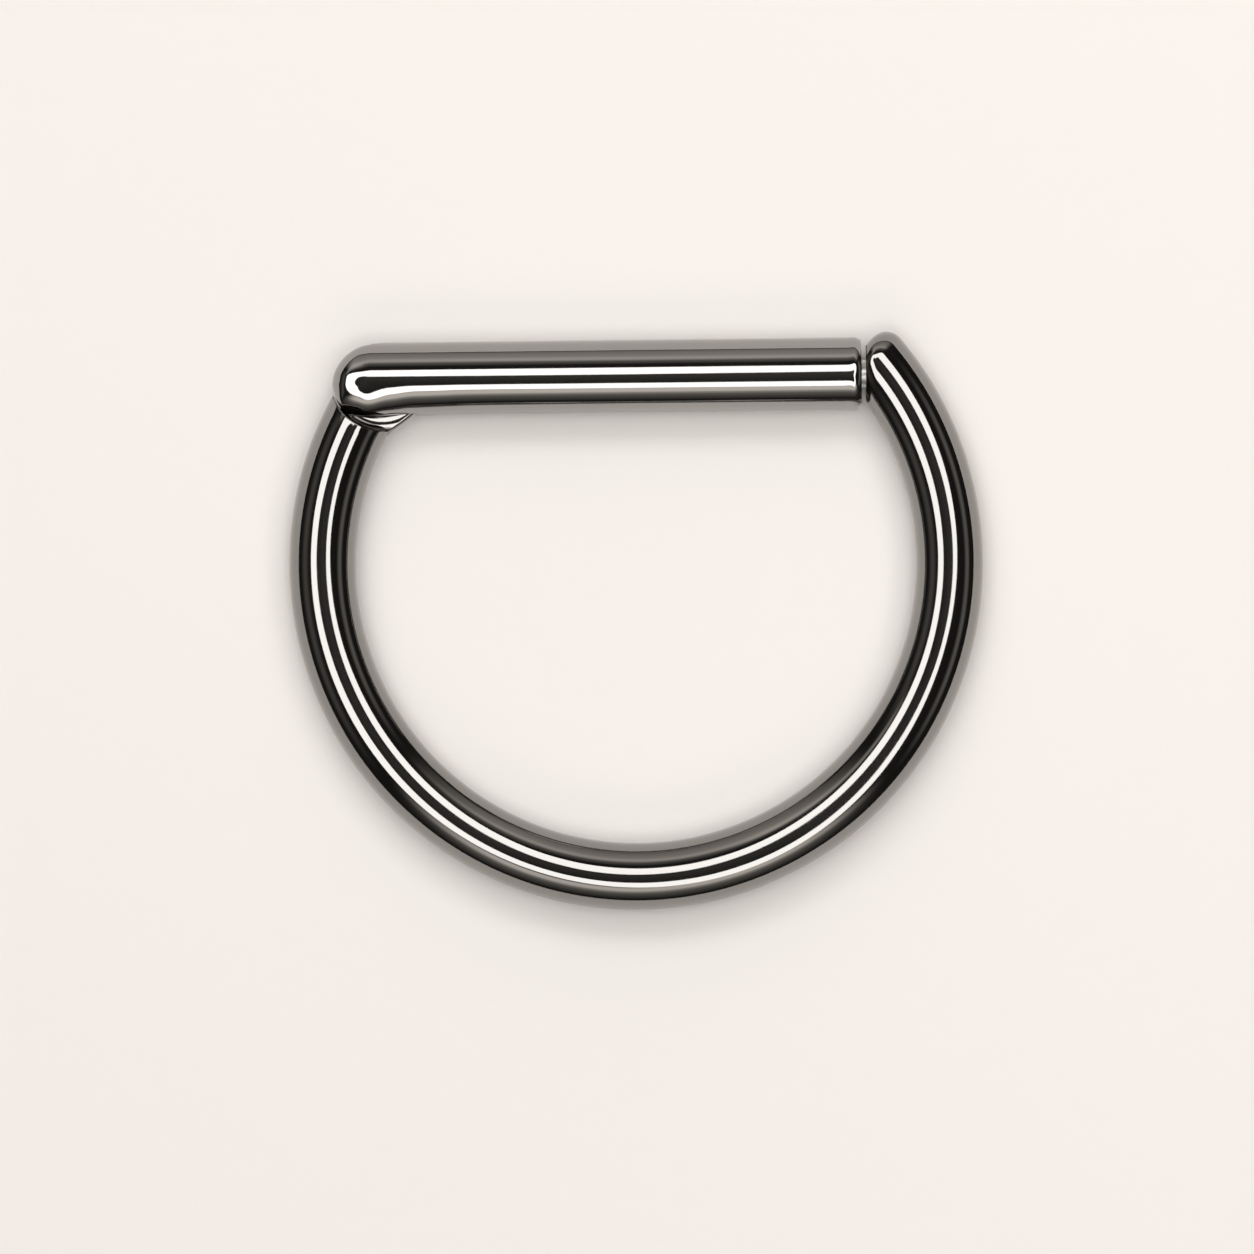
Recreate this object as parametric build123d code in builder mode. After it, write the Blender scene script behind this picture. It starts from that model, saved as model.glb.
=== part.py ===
from build123d import *
from math import atan2, degrees, sqrt
import os

os.makedirs("parts", exist_ok=True)

# Driving dimensions in millimetres
inside_diameter = 10.0  # across the round hollow
wire_diameter = 1.2  # the bent body wire
bar_diameter = 1.3  # the straight hinged segment
bar_offset = 3.34  # from the ring's centre to the bar's centreline

# Hinge
tail_radius = 0.90  # reach of the bar's rounded tail round the hinge axis
shoulder_radius = 0.79  # gentle corner on the tail's outer side
heel_radius = 0.25  # tight corner on the tail's inner side
crown_radius = 0.33  # rounding from the tail's top down to its end
seat_clearance = 0.03  # between the tail and the scooped seat in the wire
seat_edge_round = 0.03  # broken edge round the scooped seat
tongue_thickness = 0.40  # middle tongue left between the two scoops
tongue_radius = 0.845  # tongue's rounded inner side round the hinge axis
eye_radius = 0.36  # tongue's eye round the pin hole
tongue_root_radius = 0.30  # sweep from the tongue into the wire's inner side
slot_side_clearance = 0.03  # each side of the tongue in the fork
slot_end_clearance = 0.03  # between the tongue and the fork's bottom
slot_cover = 0.10  # metal left over the slot on the bar's outer side
slot_cover_start = -0.11  # from the hinge axis to the inner corner of that cover
pin_diameter = 0.40  # hinge pin
pin_clearance = 0.02  # round the pin in the tongue's hole
pin_inset = 0.05  # pin's lower end above the bottom of the lower cheek
pin_cover = 0.20  # metal left over the pin's upper end

# Catch
closure_gap = 0.08  # open gap between the bar's end and the wire's cut face
gap_from_corner = 0.40  # from the corner of the two centrelines to the gap's middle
edge_round = 0.12  # rounding round both end faces
nose_rise = 0.10  # wire's rounded nose above the bar's outer side
nub_diameter = 0.50  # catch nub on the wire's cut face
nub_engagement = 0.03  # nub's reach past the bar's end, into its notch
nub_edge_round = 0.05  # rounding at the nub's tip
notch_side_clearance = 0.04  # round the nub in the bar's notch
notch_end_clearance = 0.04  # between the nub's tip and the notch's bottom

# Places worked out from the driving dimensions
wire_radius = wire_diameter / 2
bar_radius = bar_diameter / 2
ring_radius = inside_diameter / 2 + wire_radius
outer_radius = ring_radius + wire_radius
half_chord = sqrt(ring_radius**2 - bar_offset**2)
centre_level = max(wire_radius, bar_radius)
hinge_angle = degrees(atan2(bar_offset, -half_chord))

bar_end_x = half_chord - gap_from_corner - closure_gap / 2
face_x = half_chord - gap_from_corner + closure_gap / 2
nose_top = bar_offset + bar_radius + nose_rise
nose_y = nose_top - wire_radius
nose_x = sqrt(ring_radius**2 - nose_y**2)
nose_angle = degrees(atan2(nose_y, nose_x))

seat_radius = tail_radius + seat_clearance
slot_width = tongue_thickness + 2 * slot_side_clearance
slot_radius = tongue_radius + slot_end_clearance
tongue_half_width = sqrt(wire_radius**2 - (tongue_thickness / 2) ** 2)
nub_length = closure_gap + nub_engagement
notch_radius = nub_diameter / 2 + notch_side_clearance
pin_top = bar_radius - pin_cover
pin_bottom = -bar_radius + pin_inset

# The origin lies under the middle of the outline, on the surface that the ring rests on
ring_y = (outer_radius - nose_top) / 2
ring_plane = Plane(origin=(0, ring_y, centre_level))
hinge_plane = Plane(origin=(-half_chord, ring_y + bar_offset, centre_level))
face_plane = Plane(
    origin=(face_x, ring_y + bar_offset, centre_level), x_dir=(0, 1, 0), z_dir=(-1, 0, 0)
)
end_plane = Plane(
    origin=(bar_end_x, ring_y + bar_offset, centre_level), x_dir=(0, 1, 0), z_dir=(-1, 0, 0)
)

# Curved body: the bent wire with a rounded nose, cut square beside the bar
wire_sweep = hinge_angle - 360 - nose_angle

with BuildPart() as curved_body:
    with BuildLine(ring_plane) as wire_path:
        CenterArc((0, 0), ring_radius, nose_angle, wire_sweep)
    with BuildSketch(Plane(origin=wire_path.line @ 0, z_dir=wire_path.line % 0)):
        Circle(wire_radius)
    sweep(path=wire_path.line)
    with Locations(wire_path.line @ 0):
        Sphere(wire_radius)
    with BuildSketch(face_plane):
        Rectangle(4 * wire_diameter, 2 * wire_diameter)
    extrude(amount=wire_diameter, mode=Mode.SUBTRACT)
    fillet(faces().filter_by(Axis.X).sort_by(Axis.X)[-1].edges(), edge_round)

    # Catch nub on the cut face
    with BuildSketch(face_plane.offset(-wire_radius / 2)):
        Circle(nub_diameter / 2)
    extrude(amount=wire_radius / 2 + nub_length)
    fillet(edges().filter_by(GeomType.CIRCLE).filter_by_position(
        Axis.X, face_x - nub_length - 0.001, face_x - nub_length + 0.001), nub_edge_round)

    # Scooped seat round the hinge axis
    with BuildSketch(hinge_plane.offset(-wire_diameter)):
        Circle(seat_radius)
    extrude(amount=2 * wire_diameter, mode=Mode.SUBTRACT)
    fillet(edges(Select.LAST), seat_edge_round)

    # Middle tongue: an eye round the hinge axis, widening to a rounded inner side at its root
    with BuildSketch(hinge_plane.offset(-tongue_thickness / 2)) as tongue:
        Circle(seat_radius + wire_radius / 2)
        with Locations((half_chord, -bar_offset)):
            Circle(ring_radius + eye_radius, mode=Mode.INTERSECT)
            Circle(ring_radius - tongue_half_width, mode=Mode.SUBTRACT)
        with Locations(Location((0, 0, 0), (0, 0, hinge_angle))):
            Rectangle(3 * wire_diameter, 2 * wire_diameter, align=(Align.CENTER, Align.MIN),
                      mode=Mode.INTERSECT)
        with BuildSketch(mode=Mode.PRIVATE) as tongue_side:
            Circle(tongue_radius)
            with Locations(Location((0, 0, 0), (0, 0, hinge_angle))):
                Rectangle(2 * wire_diameter, 2 * wire_diameter, align=(Align.MAX, Align.MIN),
                          mode=Mode.INTERSECT)
        add(tongue_side.sketch)
        fillet(tongue.vertices().sort_by_distance((0, -tongue_radius))[0], tongue_root_radius)
        Circle(eye_radius)
    extrude(amount=tongue_thickness)
    with BuildSketch(hinge_plane.offset(-tongue_thickness)):
        Circle(pin_diameter / 2 + pin_clearance)
    extrude(amount=2 * tongue_thickness, mode=Mode.SUBTRACT)

curved_body.part.label = "curved_body"
export_step(curved_body.part, "parts/curved_body.step")

# Bar: a round rod with a rounded tail at the hinge and a square end at the gap
with BuildPart() as bar:
    with BuildSketch(end_plane):
        Circle(bar_radius)
    extrude(amount=bar_end_x + half_chord + tail_radius)
    fillet(edges().filter_by(GeomType.CIRCLE).sort_by(Axis.X)[-1], edge_round)
    fillet(edges().filter_by(GeomType.CIRCLE).sort_by(Axis.X)[0], crown_radius)

    # Tail seen from above: gentle shoulder outside, arc round the hinge, tight heel inside
    shoulder = (-(tail_radius - shoulder_radius), bar_radius - shoulder_radius)
    with BuildSketch(hinge_plane.offset(-bar_diameter)) as tail:
        with Locations(shoulder):
            Circle(shoulder_radius)
        Circle(tail_radius, mode=Mode.INTERSECT)
        Rectangle(2 * bar_diameter, bar_diameter, mode=Mode.INTERSECT)
        fillet(tail.vertices().group_by(Axis.Y)[0].sort_by(Axis.X)[0], heel_radius)
        with Locations((shoulder[0], 0)):
            Rectangle(2 * half_chord + wire_diameter, bar_diameter, align=(Align.MIN, Align.CENTER))
    extrude(amount=2 * bar_diameter, mode=Mode.INTERSECT)

    # Fork slot for the tongue, open at the tail and inside. The cover on the bar's outer side ends
    # in a slant that lies along the tongue when the bar stands open.
    cover_corner = (slot_cover_start, bar_radius - slot_cover)
    with BuildSketch(hinge_plane.offset(-slot_width / 2)):
        Circle(slot_radius)
        with Locations((slot_cover_start, 0)):
            Rectangle(2 * tail_radius, 2 * bar_diameter, align=(Align.MAX, Align.CENTER))
        with Locations(cover_corner, Location((*cover_corner, 0), (0, 0, hinge_angle - 90))):
            Rectangle(bar_diameter, bar_diameter, align=(Align.MIN, Align.MIN), mode=Mode.SUBTRACT)
    extrude(amount=slot_width, mode=Mode.SUBTRACT)

    # Blind hole for the pin, drilled from below
    with BuildSketch(hinge_plane.offset(-bar_diameter)):
        Circle(pin_diameter / 2)
    extrude(amount=bar_diameter + pin_top, mode=Mode.SUBTRACT)

    # Notch that drops over the catch nub, open towards the ring's inside
    with BuildSketch(end_plane):
        Circle(notch_radius)
        Rectangle(bar_diameter, 2 * notch_radius, align=(Align.MAX, Align.CENTER))
    extrude(amount=nub_engagement + notch_end_clearance, mode=Mode.SUBTRACT)

bar.part.label = "bar"
export_step(bar.part, "parts/bar.step")

# Hinge pin, pressed into both cheeks and free in the tongue
with BuildPart() as hinge_pin:
    with BuildSketch(hinge_plane.offset(pin_bottom)):
        Circle(pin_diameter / 2)
    extrude(amount=pin_top - pin_bottom)

hinge_pin.part.label = "hinge_pin"
export_step(hinge_pin.part, "parts/hinge_pin.step")
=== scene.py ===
import bmesh
import bpy
import numpy as np
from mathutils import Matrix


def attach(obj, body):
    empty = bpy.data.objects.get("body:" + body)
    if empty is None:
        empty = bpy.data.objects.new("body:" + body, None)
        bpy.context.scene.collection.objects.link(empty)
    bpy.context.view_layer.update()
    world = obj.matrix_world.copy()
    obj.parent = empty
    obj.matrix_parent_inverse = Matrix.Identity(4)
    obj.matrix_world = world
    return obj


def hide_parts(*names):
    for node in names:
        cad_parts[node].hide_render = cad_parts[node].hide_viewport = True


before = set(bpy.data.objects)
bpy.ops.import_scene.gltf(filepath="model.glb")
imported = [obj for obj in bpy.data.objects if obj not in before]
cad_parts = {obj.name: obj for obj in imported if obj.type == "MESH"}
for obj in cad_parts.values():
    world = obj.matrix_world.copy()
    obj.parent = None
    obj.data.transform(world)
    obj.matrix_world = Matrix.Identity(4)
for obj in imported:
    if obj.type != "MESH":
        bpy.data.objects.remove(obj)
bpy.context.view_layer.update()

# Camera
# Looks straight down on the ring, turned a little so that the bar rises to the right. The ring lies
# on its side on the floor, and its places are in millimetres about the centre of its round wire.
mm = 0.001
ring_centre = np.array([0.0, 1.055, 0.65])
camera_data = bpy.data.cameras.new("camera")
camera = bpy.data.objects.new("camera", camera_data)
bpy.context.scene.collection.objects.link(camera)
camera_height = 200.0
picture_pixels = 1254
pixels_per_mm = 55.97
view_width = picture_pixels / pixels_per_mm
camera_data.angle = 2 * np.arctan(view_width / 2 / camera_height)
camera_data.clip_start = 0.01
camera_data.clip_end = 2.0
ring_roll = np.radians(0.65)
view_middle = (-0.1774, ring_centre[1] - 1.1416)
camera.location = (view_middle[0] * mm, view_middle[1] * mm, (ring_centre[2] + camera_height) * mm)
camera.rotation_euler = (0.0, 0.0, -ring_roll)
bpy.context.scene.camera = camera
bpy.context.scene.view_settings.view_transform = "Standard"
bpy.context.scene.view_settings.look = "None"

# Floor
# A plain, matt, warm white board under the ring.
floor_half = 0.6
floor_mesh = bpy.data.meshes.new("floor")
floor_mesh.from_pydata(
    [(-floor_half, -floor_half, 0), (floor_half, -floor_half, 0), (floor_half, floor_half, 0),
     (-floor_half, floor_half, 0)], [], [(0, 1, 2, 3)])
floor = bpy.data.objects.new("floor", floor_mesh)
bpy.context.scene.collection.objects.link(floor)
board = bpy.data.materials.new("warm_white_board")
board.use_nodes = True
shader = board.node_tree.nodes["Principled BSDF"]
shader.inputs["Base Color"].default_value = (0.90, 0.858, 0.819, 1)
shader.inputs["Roughness"].default_value = 0.9
shader.inputs["Specular IOR Level"].default_value = 0.1
floor_mesh.materials.append(board)

# Lights
# A wide soft lamp with an open middle hangs over the ring, a large key comes from behind the bar, and
# dim panels stand round the board. The lamp's two edges are given by their angle from straight up in
# twelve directions, from +X round, and run smoothly between them.
lamp_height = 220.0
lamp_inner = (11, 15, 11, 6, 11, 20, 21, 17, 20, 22, 23, 11)
lamp_outer = (25, 35, 32, 27, 31, 41, 40, 39, 37, 38, 40, 26)


def wrapped(rows):
    """Face corners of a grid of rows by columns whose last column joins its first."""
    count, around = rows.shape[:2]
    i = np.arange(count - 1)[:, None] * around
    j = np.arange(around)[None, :]
    k = (j + 1) % around
    return np.stack([i + j, i + k, i + around + k, i + around + j], axis=-1).reshape(-1, 4)


def smooth_edge(angles, turn):
    """The Fourier series through angles given at equal steps round the circle, at the turns asked for:
    the sum of each wave's size times its cosine, every wave but the first and the last counted twice."""
    count = len(angles)
    waves = np.fft.rfft(angles) / count
    order = np.arange(len(waves))[:, None]
    weight = np.where((order == 0) | (2 * order == count), 1, 2)
    return np.sum(weight * np.real(waves[:, None] * np.exp(1j * order * turn)), axis=0)


turn = np.linspace(0, 2 * np.pi, 240, endpoint=False)
lamp_edges = np.radians([smooth_edge(lamp_inner, turn), smooth_edge(lamp_outer, turn)])
spread = lamp_height * np.tan(lamp_edges)
lamp_points = np.stack([spread * np.cos(turn), spread * np.sin(turn), lamp_height + 0 * spread], axis=-1)
lamp_mesh = bpy.data.meshes.new("ring_lamp")
lamp_mesh.from_pydata(lamp_points.reshape(-1, 3) * mm, [], wrapped(lamp_points).tolist())
lamp = bpy.data.objects.new("ring_lamp", lamp_mesh)
bpy.context.scene.collection.objects.link(lamp)
glow = bpy.data.materials.new("lamp_glow")
glow.use_nodes = True
shader = glow.node_tree.nodes["Principled BSDF"]
shader.inputs["Base Color"].default_value = (0, 0, 0, 1)
shader.inputs["Emission Color"].default_value = (1, 0.99, 0.985, 1)
shader.inputs["Emission Strength"].default_value = 3.4
lamp_mesh.materials.append(glow)
lamp.visible_diffuse = False

key_data = bpy.data.lights.new("key", "AREA")
key_data.shape = "DISK"
key_distance = 1.2
key_tilt = np.radians(9.0)
key_turn = np.radians(102.0)
key_spread = np.radians(36.0)
key_data.size = 2 * key_distance * np.tan(key_spread)
key_data.energy = 30.6
key = bpy.data.objects.new("key", key_data)
bpy.context.scene.collection.objects.link(key)
key.location = (key_distance * np.sin(key_tilt) * np.cos(key_turn),
                key_distance * np.sin(key_tilt) * np.sin(key_turn),
                key_distance * np.cos(key_tilt))
key.rotation_euler = (0, key_tilt, key_turn)
key.visible_glossy = False

world = bpy.data.worlds.new("dim_studio")
bpy.context.scene.world = world
world.use_nodes = True
nodes = world.node_tree.nodes
links = world.node_tree.links
direction = nodes.new("ShaderNodeTexCoord")
background = nodes["Background"]


def world_panel(before, towards, half_width, ramp, strengths):
    """Adds a soft panel to the world's light so far. It stands on the side given by towards, in degrees
    round from +X, and fades to nothing half_width degrees to either side, as a smooth step in the cosine
    of that angle. Its strength follows the angle from straight up, given in ramp and strengths."""
    ahead = nodes.new("ShaderNodeVectorMath")
    ahead.operation = "DOT_PRODUCT"
    ahead.inputs[1].default_value = (np.cos(np.radians(towards)), np.sin(np.radians(towards)), 0)
    links.new(flat_direction.outputs["Vector"], ahead.inputs[0])
    across = nodes.new("ShaderNodeMapRange")
    across.interpolation_type = "SMOOTHSTEP"
    across.inputs["From Min"].default_value = np.cos(np.radians(half_width))
    across.inputs["From Max"].default_value = np.cos(np.radians(half_width * 0.4))
    links.new(ahead.outputs["Value"], across.inputs["Value"])
    curve = nodes.new("ShaderNodeValToRGB")
    curve.color_ramp.interpolation = "EASE"
    stops = curve.color_ramp.elements
    stops.remove(stops[1])
    stops[0].position = ramp[0] / 90
    for degrees, strength in zip(ramp, strengths):
        stop = stops[0] if degrees == ramp[0] else stops.new(degrees / 90)
        stop.color = (strength / 2, strength / 2, strength / 2, 1)
    links.new(from_up.outputs[0], curve.inputs["Fac"])
    product = nodes.new("ShaderNodeMath")
    product.operation = "MULTIPLY"
    links.new(across.outputs["Result"], product.inputs[0])
    links.new(curve.outputs[0], product.inputs[1])
    total = nodes.new("ShaderNodeMath")
    total.operation = "MULTIPLY_ADD"
    total.inputs[1].default_value = 2.0
    links.new(product.outputs[0], total.inputs[0])
    links.new(before, total.inputs[2])
    return total.outputs[0]


height = nodes.new("ShaderNodeSeparateXYZ")
links.new(direction.outputs["Generated"], height.inputs[0])
angle = nodes.new("ShaderNodeMath")
angle.operation = "ARCCOSINE"
links.new(height.outputs["Z"], angle.inputs[0])
from_up = nodes.new("ShaderNodeMath")
from_up.operation = "DIVIDE"
from_up.inputs[1].default_value = np.pi / 2
links.new(angle.outputs[0], from_up.inputs[0])
level_out = nodes.new("ShaderNodeVectorMath")
level_out.operation = "MULTIPLY"
level_out.inputs[1].default_value = (1, 1, 0)
links.new(direction.outputs["Generated"], level_out.inputs[0])
flat_direction = nodes.new("ShaderNodeVectorMath")
flat_direction.operation = "NORMALIZE"
links.new(level_out.outputs["Vector"], flat_direction.inputs[0])
dim = nodes.new("ShaderNodeMapRange")
dim.inputs["From Min"].default_value = 0.0
dim.inputs["From Max"].default_value = 24.0 / 90
dim.inputs["To Min"].default_value = 0.085
dim.inputs["To Max"].default_value = 0.025
links.new(from_up.outputs[0], dim.inputs["Value"])
light = world_panel(dim.outputs[0], 90.0, 52.0,
                    (36, 46, 57, 70, 84, 90), (0.0, 0.15, 0.80, 0.50, 0.38, 0.06))
light = world_panel(light, 270.0, 50.0,
                    (36, 42, 50, 56, 63, 75, 84), (0.0, 1.3, 1.2, 0.5, 0.2, 0.08, 0.0))
light = world_panel(light, 130.0, 26.0, (42, 50, 60), (0.0, 0.5, 0.0))
light = world_panel(light, 180.0, 40.0, (45, 62, 80), (0.0, 0.13, 0.0))
light = world_panel(light, 0.0, 40.0, (48, 62, 74), (0.0, 0.26, 0.0))
links.new(light, background.inputs["Strength"])
background.inputs["Color"].default_value = (1.0, 0.94, 0.87, 1)

# Curved body
# Round surgical steel wire bent to three quarters of a circle and polished to a dark mirror. Its left
# end is scooped out round the hinge and leaves a middle tongue, its right end is cut square.
ring_radius = 5.6
wire_radius = 0.6
bar_offset = 3.34
half_chord = np.sqrt(ring_radius**2 - bar_offset**2)
hinge = np.array([-half_chord, bar_offset, 0.0])
hinge_turn = np.arctan2(hinge[1], hinge[0])
seat_radius = 0.93
seat_round = 0.02
face_x = 4.135
face_round = 0.36
face_band = 0.17
nose_reach = 0.455
nose_round = 0.34
nose_y = 3.49
nose_x = 4.379
nose_turn = np.arctan2(nose_y, nose_x) + 2 * np.pi
forward = np.array([-np.sin(nose_turn), np.cos(nose_turn), 0])
around_wire = 208
theta = np.linspace(0, 2 * np.pi, around_wire, endpoint=False)


def surface_object(name, points, faces):
    """A mesh object from points in millimetres about the ring's centre and a table of face corners.
    Doubled points are merged, so seams and poles close, and the faces are turned outwards."""
    mesh = bpy.data.meshes.new(name)
    mesh.from_pydata((points + ring_centre) * mm, [], faces.tolist())
    work = bmesh.new()
    work.from_mesh(mesh)
    bmesh.ops.remove_doubles(work, verts=work.verts, dist=2e-8)
    bmesh.ops.recalc_face_normals(work, faces=work.faces)
    work.to_mesh(mesh)
    work.free()
    mesh.shade_smooth()
    obj = bpy.data.objects.new(name, mesh)
    bpy.context.scene.collection.objects.link(obj)
    return obj


def rounded_cut(a, b, radius, lean=0.0):
    """Signed distance to what two shapes share, with its edge rounded by a ball of that radius. a and
    b are the distances to the two shapes and lean is the cosine between their outward directions. On
    the ball's side of both, the distance is taken from the ball's centre, by the law of cosines, and
    elsewhere the larger of the two counts."""
    a_out = a + radius
    b_out = b + radius
    squared = np.maximum(a_out**2 + b_out**2 - 2 * a_out * b_out * lean, 0) / (1 - lean**2 + 1e-9)
    ball = np.sqrt(squared) - radius
    on_ball = (a_out > lean * b_out) & (b_out > lean * a_out) & (a_out + b_out > 0)
    return np.where(on_ball, ball, np.maximum(a, b))


def reach(shape, start, towards, furthest):
    """Points where rays from start leave a shape, found by halving the ray forty times."""
    near = np.zeros(towards.shape[:-1])
    far = np.full(towards.shape[:-1], furthest)
    for _ in range(40):
        middle = (near + far) / 2
        inside = shape(start + towards * middle[..., None]) < 0
        near = np.where(inside, middle, near)
        far = np.where(inside, far, middle)
    return start + towards * near[..., None]


def soft_step(value, low, high):
    """0 below low, 1 above high, and a smooth cubic between."""
    t = np.clip((value - low) / (high - low), 0, 1)
    return t * t * (3 - 2 * t)


def capped_wire(p):
    """The wire's tube, cut square nose_reach past the end of its centreline and well rounded there."""
    x, y, z = p[..., 0], p[..., 1], p[..., 2]
    around = np.hypot(x, y)
    off = np.hypot(around - ring_radius, z)
    ahead = x * forward[0] + y * forward[1]
    lean = (around - ring_radius) / off * ahead / around
    return rounded_cut(off - wire_radius, ahead - nose_reach, nose_round, lean)


def nose_shape(p):
    """The capped wire, cut by the flat face towards the bar. Within face_band of the face its skin sinks
    with the square of the distance, so that the edge is rolled like a circle of face_round, and much
    less on the wire's inner side."""
    from_face = p[..., 0] - face_x
    inwards = np.degrees(np.arctan2(np.abs(p[..., 2]), np.hypot(p[..., 0], p[..., 1]) - ring_radius))
    share = 1 - 0.85 * soft_step(inwards, 92, 135)
    sink = np.maximum(face_band - from_face, 0) ** 2 / (2 * face_round) * share
    return np.maximum(capped_wire(p) + sink, -from_face)


# Seat: straight wall up to the tube, small round, then the tube's own skin
tube_r = ring_radius + wire_radius * np.cos(theta)
tube_z = wire_radius * np.sin(theta)
seat_turn = hinge_turn + np.arccos((tube_r**2 + ring_radius**2 - seat_radius**2) / (2 * ring_radius * tube_r))
corner = np.stack([tube_r * np.cos(seat_turn), tube_r * np.sin(seat_turn), tube_z], axis=-1)
skin_normal = np.stack([np.cos(theta) * np.cos(seat_turn), np.cos(theta) * np.sin(seat_turn),
                        np.sin(theta)], axis=-1)
wall_normal = (hinge - corner) * (1, 1, 0) / seat_radius
meeting = np.sum(skin_normal * wall_normal, axis=-1, keepdims=True)
round_middle = corner - seat_round * (skin_normal + wall_normal) / (1 + meeting)
opening = np.arccos(meeting)
step = np.linspace(0, 1, 8)[:, None, None]
edge_rows = round_middle + seat_round * (
    np.sin((1 - step) * opening) * wall_normal + np.sin(step * opening) * skin_normal) / np.sin(opening)
wall_rows = edge_rows[0] * np.stack([np.ones(8), np.ones(8), np.linspace(0, 1, 8)], axis=-1)[:, None, :]
first_turn = np.arctan2(edge_rows[-1, :, 1], edge_rows[-1, :, 0]) % (2 * np.pi)
last_turn = np.radians(388.0)
along = np.linspace(0, 1, 181)[1:, None]
turn = first_turn + (last_turn - first_turn) * along
tube_rows = np.stack([tube_r * np.cos(turn), tube_r * np.sin(turn), tube_z + 0 * turn], axis=-1)

# Nose: rays from the wire's centreline, then from its end over the rounded nose
longest_ray = 1.2
turn = np.linspace(last_turn, nose_turn, 50)[1:, None]
out = np.stack([np.cos(turn) * np.cos(theta), np.sin(turn) * np.cos(theta), np.sin(theta) + 0 * turn],
               axis=-1)
start = np.stack([ring_radius * np.cos(turn), ring_radius * np.sin(turn), 0 * turn], axis=-1)
end_rows = reach(nose_shape, start, out, longest_ray)
lean = np.radians(np.linspace(0, 90, 71))[1:, None, None]
cap_rows = reach(nose_shape, start[-1], out[-1] * np.cos(lean) + forward * np.sin(lean), longest_ray)
wire_rows = np.concatenate([wall_rows, edge_rows[1:], tube_rows, end_rows, cap_rows])

# Tongue: a plate with rounded rims, an eye round the pin and a low crown outside the fork
tongue_reach = 0.845
tongue_inner = ring_radius - 0.58
root_reach = 1.24
eye_radius = 0.36
root_round = 0.30
tongue_hole = 0.22
wire_way = np.array([-np.sin(hinge_turn), np.cos(hinge_turn)])
outward = np.array([np.cos(hinge_turn), np.sin(hinge_turn)])


def tongue_outline(p):
    """In plan: the eye's circle, joined to a quarter disc on the wire's inner side and to a band that
    runs back into the wire. The corner between the last two is filled by a circle of root_round."""
    q = p[..., :2] - hinge[:2]
    off = np.hypot(q[..., 0], q[..., 1])
    around = np.hypot(p[..., 0], p[..., 1])
    back = -(q @ wire_way)
    quarter = np.maximum(np.maximum(off - tongue_reach, q @ outward), back)
    band = np.maximum(np.maximum(around - ring_radius - eye_radius, tongue_inner - around),
                      np.maximum(back, off - root_reach))
    filled = np.maximum(np.minimum(quarter, band), root_round) - np.hypot(
        np.maximum(root_round - quarter, 0), np.maximum(root_round - band, 0))
    return np.minimum(off - eye_radius, filled)


beta = np.linspace(0, 2 * np.pi, 300, endpoint=False)
ray = np.stack([np.cos(beta), np.sin(beta), 0 * beta], axis=-1)
rim = np.hypot(*(reach(tongue_outline, hinge, ray, 1.6) - hinge)[:, :2].T)

# The rim turns from upright to level on a radius of 0.05, then 0.08 over its last 20 degrees
slope = np.radians(np.concatenate([np.linspace(90, 46, 7), np.linspace(46, 20, 9)[1:],
                                   np.linspace(20, 0, 9)[1:]]))
bend_radius = np.where(slope > np.radians(20.1), 0.05, 0.08)[1:]
middle_slope = (slope[1:] + slope[:-1]) / 2
inwards = np.concatenate([[0], np.cumsum(bend_radius * np.cos(middle_slope) * -np.diff(slope))])
upwards = np.concatenate([[0], np.cumsum(bend_radius * np.sin(middle_slope) * -np.diff(slope))])
inwards = inwards[:, None] * np.minimum(1, (rim - tongue_hole - 0.01) / inwards[-1])
across = np.concatenate([tongue_hole + (rim - inwards[-1] - tongue_hole) * np.linspace(0, 1, 24)[:-1, None],
                         rim - inwards[::-1]])

# The top falls to both sides of a soft ridge, more on the outer side, with the square of the distance
# added. It is level inside 0.65, drops fast past 0.885, and from 1.0 it stays level inside the wire.
crown_top = 0.215
ridge_reach = 0.797
ridge_soft = 0.008
past_ridge = np.maximum(across, 0.65) - ridge_reach
crown = (crown_top - 0.125 * (np.hypot(past_ridge, ridge_soft) - ridge_soft) - 0.07 * past_ridge
         - past_ridge**2 / 1.16)
crown = crown - 5 * np.maximum(across - 0.885, 0) ** 2
crown = np.where(across > 1.0, crown[np.abs(across - 1.0).argmin(axis=0), np.arange(len(beta))], crown)
up = crown - np.concatenate([np.zeros(23), (upwards[-1] - upwards)[::-1]])[:, None]
across = np.concatenate([across, across[::-1]])
up = np.concatenate([up, -up[::-1]])
tongue_rows = hinge + np.stack([across * np.cos(beta), across * np.sin(beta), up], axis=-1)
tongue_rows = np.concatenate([tongue_rows, tongue_rows[:1]])

# Catch nub: a short round peg on the flat face, level with the bar's middle
nub_radius = 0.25
nub_tip = face_x - 0.11
nub_root = face_x + 0.04
nub_round = 0.05
bend = np.radians(np.linspace(90, 0, 8))
nub_x = np.concatenate([[nub_root, nub_root], nub_tip + nub_round * (1 - np.cos(bend)), [nub_tip]])
nub_r = np.concatenate([[0, nub_radius], nub_radius - nub_round * (1 - np.sin(bend)), [0]])
turn = np.linspace(0, 2 * np.pi, 64, endpoint=False)
nub_rows = np.stack([nub_x[:, None] + 0 * turn, bar_offset + nub_r[:, None] * np.cos(turn),
                     nub_r[:, None] * np.sin(turn)], axis=-1)

parts = [wire_rows, tongue_rows, nub_rows]
counts = np.cumsum([0] + [part.shape[0] * part.shape[1] for part in parts])
curved_body = surface_object(
    "wire_body", np.concatenate([part.reshape(-1, 3) for part in parts]),
    np.concatenate([wrapped(part) + count for part, count in zip(parts, counts)]))
curved_body.data.set_sharp_from_angle(angle=np.radians(40))

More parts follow.
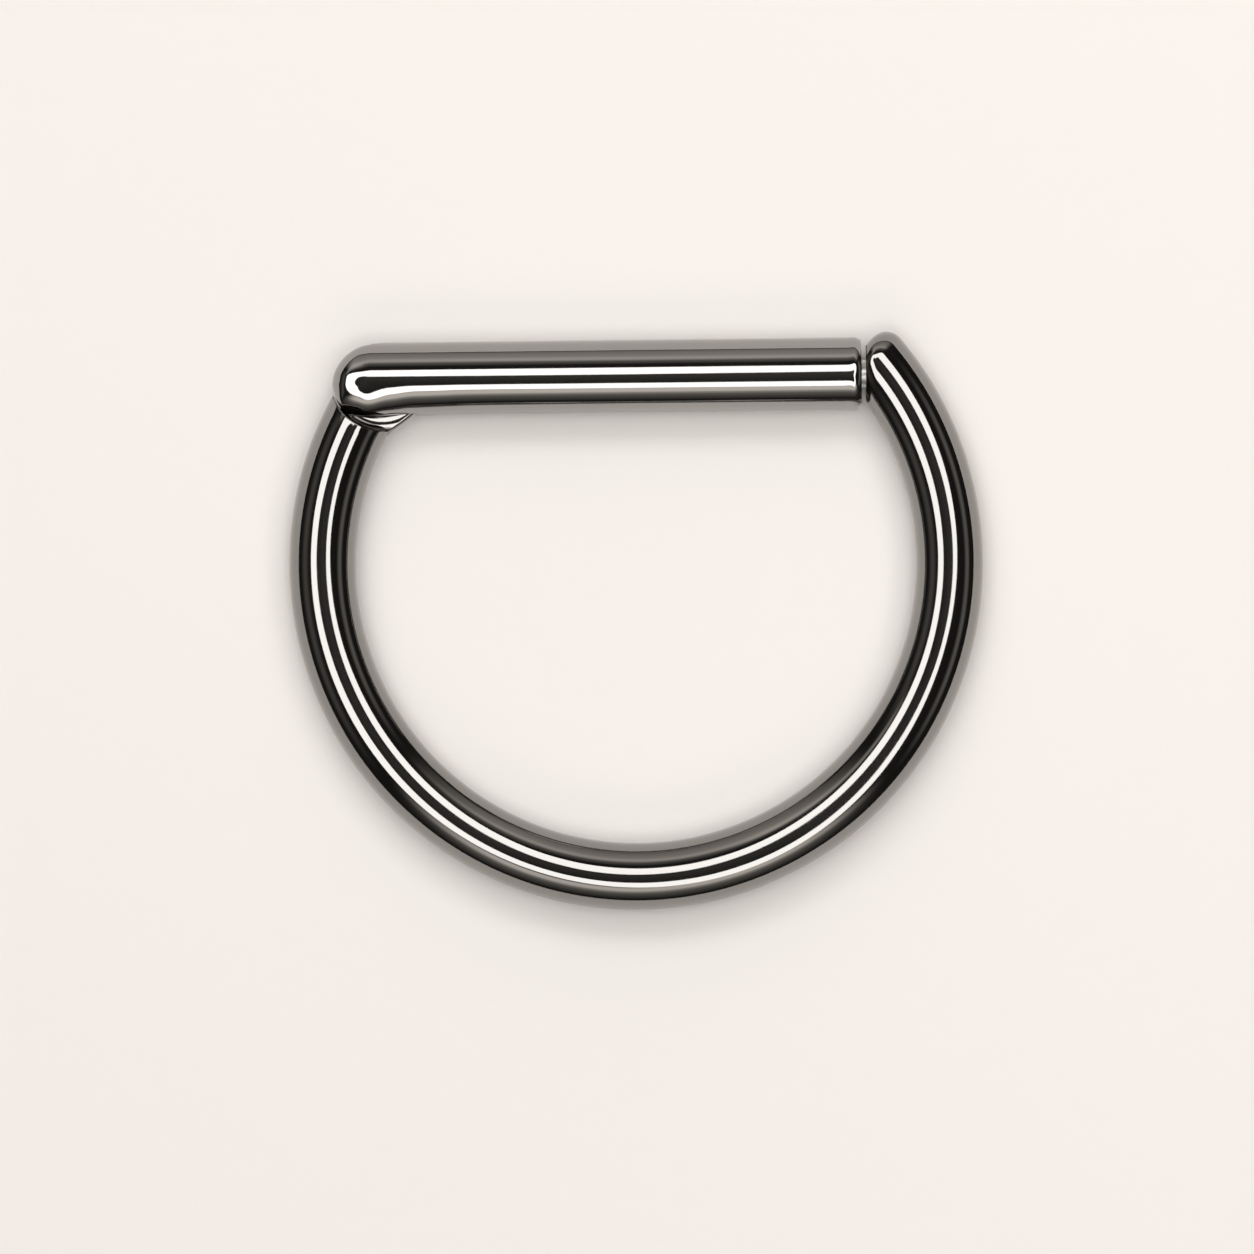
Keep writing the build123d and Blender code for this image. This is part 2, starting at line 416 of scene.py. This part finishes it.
# The nub is left satin, as it is filed to fit, and its steel is painted far lighter than the wire's, a
# painted sheen for the light it catches in the gap
middles = np.zeros(3 * len(curved_body.data.polygons))
curved_body.data.polygons.foreach_get("center", middles)
off = middles.reshape(-1, 3) / mm - ring_centre - (face_x, bar_offset, 0)
on_nub_painted_sheen = (off[:, 0] < -0.001) & (off[:, 0] > -0.2) & (np.hypot(off[:, 1], off[:, 2]) < nub_radius + 0.01)
curved_body.data.polygons.foreach_set("material_index", on_nub_painted_sheen.astype(np.int32))


def steel(name, tint, roughness):
    """Steel with a faint ripple in the polish, a soft bloom that raises its roughness in places and a
    slight warm tint that drifts over the piece."""
    metal = bpy.data.materials.new(name)
    metal.use_nodes = True
    nodes = metal.node_tree.nodes
    links = metal.node_tree.links
    shader = nodes["Principled BSDF"]
    shader.inputs["Metallic"].default_value = 1.0
    place = nodes.new("ShaderNodeTexCoord")
    drift = nodes.new("ShaderNodeTexNoise")
    drift.inputs["Scale"].default_value = 420.0
    drift.inputs["Detail"].default_value = 3.0
    links.new(place.outputs["Object"], drift.inputs["Vector"])
    colour = nodes.new("ShaderNodeMix")
    colour.data_type = "RGBA"
    colour.inputs[6].default_value = (tint[0] * 0.97, tint[1] * 0.97, tint[2] * 0.98, 1)
    colour.inputs[7].default_value = (tint[0] * 1.03, tint[1] * 1.03, tint[2] * 1.02, 1)
    links.new(drift.outputs["Fac"], colour.inputs[0])
    links.new(colour.outputs[2], shader.inputs["Base Color"])
    bloom = nodes.new("ShaderNodeMapRange")
    bloom.inputs["From Min"].default_value = 0.35
    bloom.inputs["From Max"].default_value = 0.75
    bloom.inputs["To Min"].default_value = roughness
    bloom.inputs["To Max"].default_value = roughness * 1.9
    links.new(drift.outputs["Fac"], bloom.inputs["Value"])
    links.new(bloom.outputs["Result"], shader.inputs["Roughness"])
    ripple = nodes.new("ShaderNodeTexNoise")
    ripple.inputs["Scale"].default_value = 900.0
    ripple.inputs["Detail"].default_value = 1.0
    links.new(place.outputs["Object"], ripple.inputs["Vector"])
    bump = nodes.new("ShaderNodeBump")
    bump.inputs["Strength"].default_value = 0.25
    bump.inputs["Distance"].default_value = 0.000006
    links.new(ripple.outputs["Fac"], bump.inputs["Height"])
    links.new(bump.outputs["Normal"], shader.inputs["Normal"])
    return metal


curved_body.data.materials.append(steel("polished_steel_wire", (0.275, 0.267, 0.257), 0.045))
# The nub's tint, far lighter than the wire's steel, is a painted sheen
curved_body.data.materials.append(steel("satin_steel_nub_painted_sheen", (0.80, 0.78, 0.76), 0.35))
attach(curved_body, "body")
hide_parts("curved_body")

# Bar
# Straight round rod, a little thicker than the wire. Its left end is a fork with two cheeks rounded
# over the tongue, its right end is cut square.
bar_radius = 0.65
bar_end = 4.055 + half_chord
end_round = 0.244
end_slope = np.radians(40.5)
tail_reach = 0.90
heel_round = 0.22
shoulder = (-0.11, -0.16, 0.79)
around_bar = 224
theta = np.linspace(0, 2 * np.pi, around_bar, endpoint=False)


def bar_shape(p):
    """Rod about the hinge line, swollen on its inner side near the knuckle and dropping towards the tail
    with the square of the distance from the shoulder. It is shared with the tail's outline, a circle
    round the shoulder or the hinge, and with the square end, all with rounded edges. u runs along the
    bar from the hinge, v towards the ring's outside and w up."""
    u, v, w = p[..., 0], p[..., 1], np.abs(p[..., 2])
    around = np.degrees(np.arctan2(w, v))

    # The swell dies away along the bar in three smooth steps, the drop begins 0.19 behind the shoulder,
    # and the rod widens a hair before its square end
    swell = 0.11 - 0.05 * soft_step(u, -0.27, 0.12)
    swell = swell - 0.04 * soft_step(u, 0.0, 0.60) - 0.02 * soft_step(u, 0.50, 1.74)
    swell = swell * (1 - 0.12 * soft_step(-u, 0.27, 0.50))
    heel = soft_step(around, 87 + 10 * soft_step(u, -0.50, -0.15), 155)
    fade = 1 - soft_step(u, -0.42, 0.12)
    outer_part = 0.30 * fade * np.tanh(np.maximum(v - shoulder[1], 0) / 0.36)
    drop = np.maximum(np.hypot(np.minimum(u - shoulder[0], 0), outer_part) - 0.19, 0) ** 2 / 2.08
    flare = 0.010 * (1 - np.exp(-(v / 0.22) ** 2)) * soft_step(u, bar_end - 0.28, bar_end - 0.10)
    off = np.hypot(v, w)
    rod = off - bar_radius - swell * heel + drop - flare

    # The tail's outline, with the heel's corner rounded where it meets the inner side
    tail_off = np.hypot(u, v)
    back_off = np.hypot(u - shoulder[0], v - shoulder[1])
    at_back = (u < shoulder[0]) & (v > shoulder[1]) & (back_off - shoulder[2] > tail_off - tail_reach)
    plan = np.where(at_back, back_off - shoulder[2], tail_off - tail_reach)
    plan_v = np.where(at_back, (v - shoulder[1]) / back_off, v / tail_off)
    plan = np.where((u < 0) & ((u < shoulder[0]) | (v < 0)), plan, -1.0)
    side = -v - (bar_radius + 0.02)
    corner = rounded_cut(plan, side, heel_round, -plan_v)

    # The edge between top and outline is rounded more towards the outer side
    crown = 0.05 + 0.20 * soft_step(v, -0.6, -0.15) + 0.10 * soft_step(v, 0.05, 0.5)
    lean = np.where(side > plan, -1.0, plan_v) * v / off
    ended = rounded_cut(rod, corner, crown, lean)
    outside = v - (bar_radius - 0.02 * soft_step(-u, -0.07, 0.13))
    ended = rounded_cut(ended, outside, 0.06, v / off)
    worn = rounded_cut(ended, u - bar_end - end_round * (1 - np.sin(end_slope)), end_round)
    return np.maximum(worn, u - bar_end)


# Rays fan out over the tail, run square to the rod along it, and fan out again over its end
out = np.stack([0 * theta, np.cos(theta), np.sin(theta)], axis=-1)
along_bar = np.array([1, 0, 0])
tail_start = -0.30
lean = np.radians(np.linspace(90, 0, 81))[:-1, None, None]
tail_rows = reach(bar_shape, tail_start * along_bar, out * np.cos(lean) - along_bar * np.sin(lean),
                  longest_ray)
u = np.concatenate([np.linspace(tail_start, 1.3, 60), np.linspace(1.3, bar_end - 0.45, 24)[1:],
                    np.linspace(bar_end - 0.45, bar_end - 0.25, 8)[1:]])
start = np.stack([u, 0 * u, 0 * u], axis=-1)[:, None, :]
rod_rows = reach(bar_shape, start, np.broadcast_to(out, (len(u), around_bar, 3)), longest_ray)
lean = np.radians(np.linspace(0, 90, 61))[1:, None, None]
end_rows = reach(bar_shape, start[-1], out * np.cos(lean) + along_bar * np.sin(lean), longest_ray)
bar_rows = np.concatenate([tail_rows, rod_rows, end_rows]) + hinge
bar = surface_object("bar_rod", bar_rows.reshape(-1, 3), wrapped(bar_rows))


def cut_away(piece, outline, way, low, high):
    """Takes a straight prism out of a piece: the outline, a closed loop of points, carried from low to
    high along way. The cut's edges are left sharp."""
    ends = np.stack([outline + np.array(way) * low, outline + np.array(way) * high]) + hinge
    count = len(outline)
    faces = wrapped(ends).tolist() + [list(range(count))[::-1], list(range(count, 2 * count))]
    mesh = bpy.data.meshes.new("cutter")
    mesh.from_pydata((ends.reshape(-1, 3) + ring_centre) * mm, [], faces)
    work = bmesh.new()
    work.from_mesh(mesh)
    bmesh.ops.recalc_face_normals(work, faces=work.faces)
    work.to_mesh(mesh)
    work.free()
    cutter = bpy.data.objects.new("cutter", mesh)
    bpy.context.scene.collection.objects.link(cutter)
    cut = piece.modifiers.new("cut", "BOOLEAN")
    cut.operation = "DIFFERENCE"
    cut.solver = "EXACT"
    cut.object = cutter
    result = bpy.data.meshes.new_from_object(piece.evaluated_get(bpy.context.evaluated_depsgraph_get()))
    piece.modifiers.clear()
    piece.data = result
    bpy.data.objects.remove(cutter)


# Fork slot, open at the tail and on the inner side, with a thin skin left on the outer side
slot_half = 0.23
slot_reach = 0.875
cover_start = -0.11
cover_level = 0.55
past_bar = 1.0
past_tail = -1.2
slant = cover_start - (past_bar - cover_level) / np.tan(-hinge_turn)
turn = np.linspace(np.arcsin(cover_level / slot_reach), -np.arccos(cover_start / slot_reach), 48)
slot = np.concatenate([[[past_tail, past_bar], [slant, past_bar], [cover_start, cover_level]],
                       slot_reach * np.stack([np.cos(turn), np.sin(turn)], axis=-1),
                       [[cover_start, -past_bar], [past_tail, -past_bar]]])
slot = np.column_stack([slot, np.zeros(len(slot))])
cut_away(bar, slot, (0, 0, 1), -slot_half, slot_half)

# Hole for the pin, drilled from below, and the shallow notch over the catch nub
pin_radius = 0.20
pin_top = 0.45
below_bar = -0.8
turn = np.linspace(0, 2 * np.pi, 64, endpoint=False)
hole = pin_radius * np.stack([np.cos(turn), np.sin(turn), 0 * turn], axis=-1)
cut_away(bar, hole, (0, 0, 1), below_bar, pin_top)
notch_radius = 0.29
notch_depth = 0.07
turn = np.linspace(-np.pi / 2, np.pi / 2, 33)
notch = np.concatenate([notch_radius * np.stack([np.cos(turn), np.sin(turn)], axis=-1),
                        [[below_bar, notch_radius], [below_bar, -notch_radius]]])
notch = np.column_stack([np.zeros(len(notch)), notch])
cut_away(bar, notch, (1, 0, 0), bar_end - notch_depth, bar_end + 0.2)
bar.data.set_sharp_from_angle(angle=np.radians(35))
bar.data.materials.append(steel("polished_steel_bar", (0.33, 0.322, 0.312), 0.045))
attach(bar, "hinged_bar")
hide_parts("bar")

# Hinge pin
# Short round steel pin, pressed into both cheeks from below and dressed flush.
pin_shaft = pin_radius - 0.002
pin_bottom = -0.60
pin_round = 0.03
pin_dome = 0.005
bend = np.radians(np.linspace(0, 90, 8))
pin_w = np.concatenate([[pin_top, pin_top], pin_bottom + pin_round * (1 - np.sin(bend)),
                        [pin_bottom - pin_dome]])
pin_r = np.concatenate([[0, pin_shaft], pin_shaft - pin_round * (1 - np.cos(bend)), [0]])
turn = np.linspace(0, 2 * np.pi, 64, endpoint=False)
pin_rows = hinge + np.stack([pin_r[:, None] * np.cos(turn), pin_r[:, None] * np.sin(turn),
                             pin_w[:, None] + 0 * turn], axis=-1)
pin = surface_object("pin_rod", pin_rows.reshape(-1, 3), wrapped(pin_rows))
pin.data.set_sharp_from_angle(angle=np.radians(40))
pin.data.materials.append(steel("polished_steel_pin", (0.43, 0.42, 0.41), 0.06))
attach(pin, "hinged_bar")
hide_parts("hinge_pin")
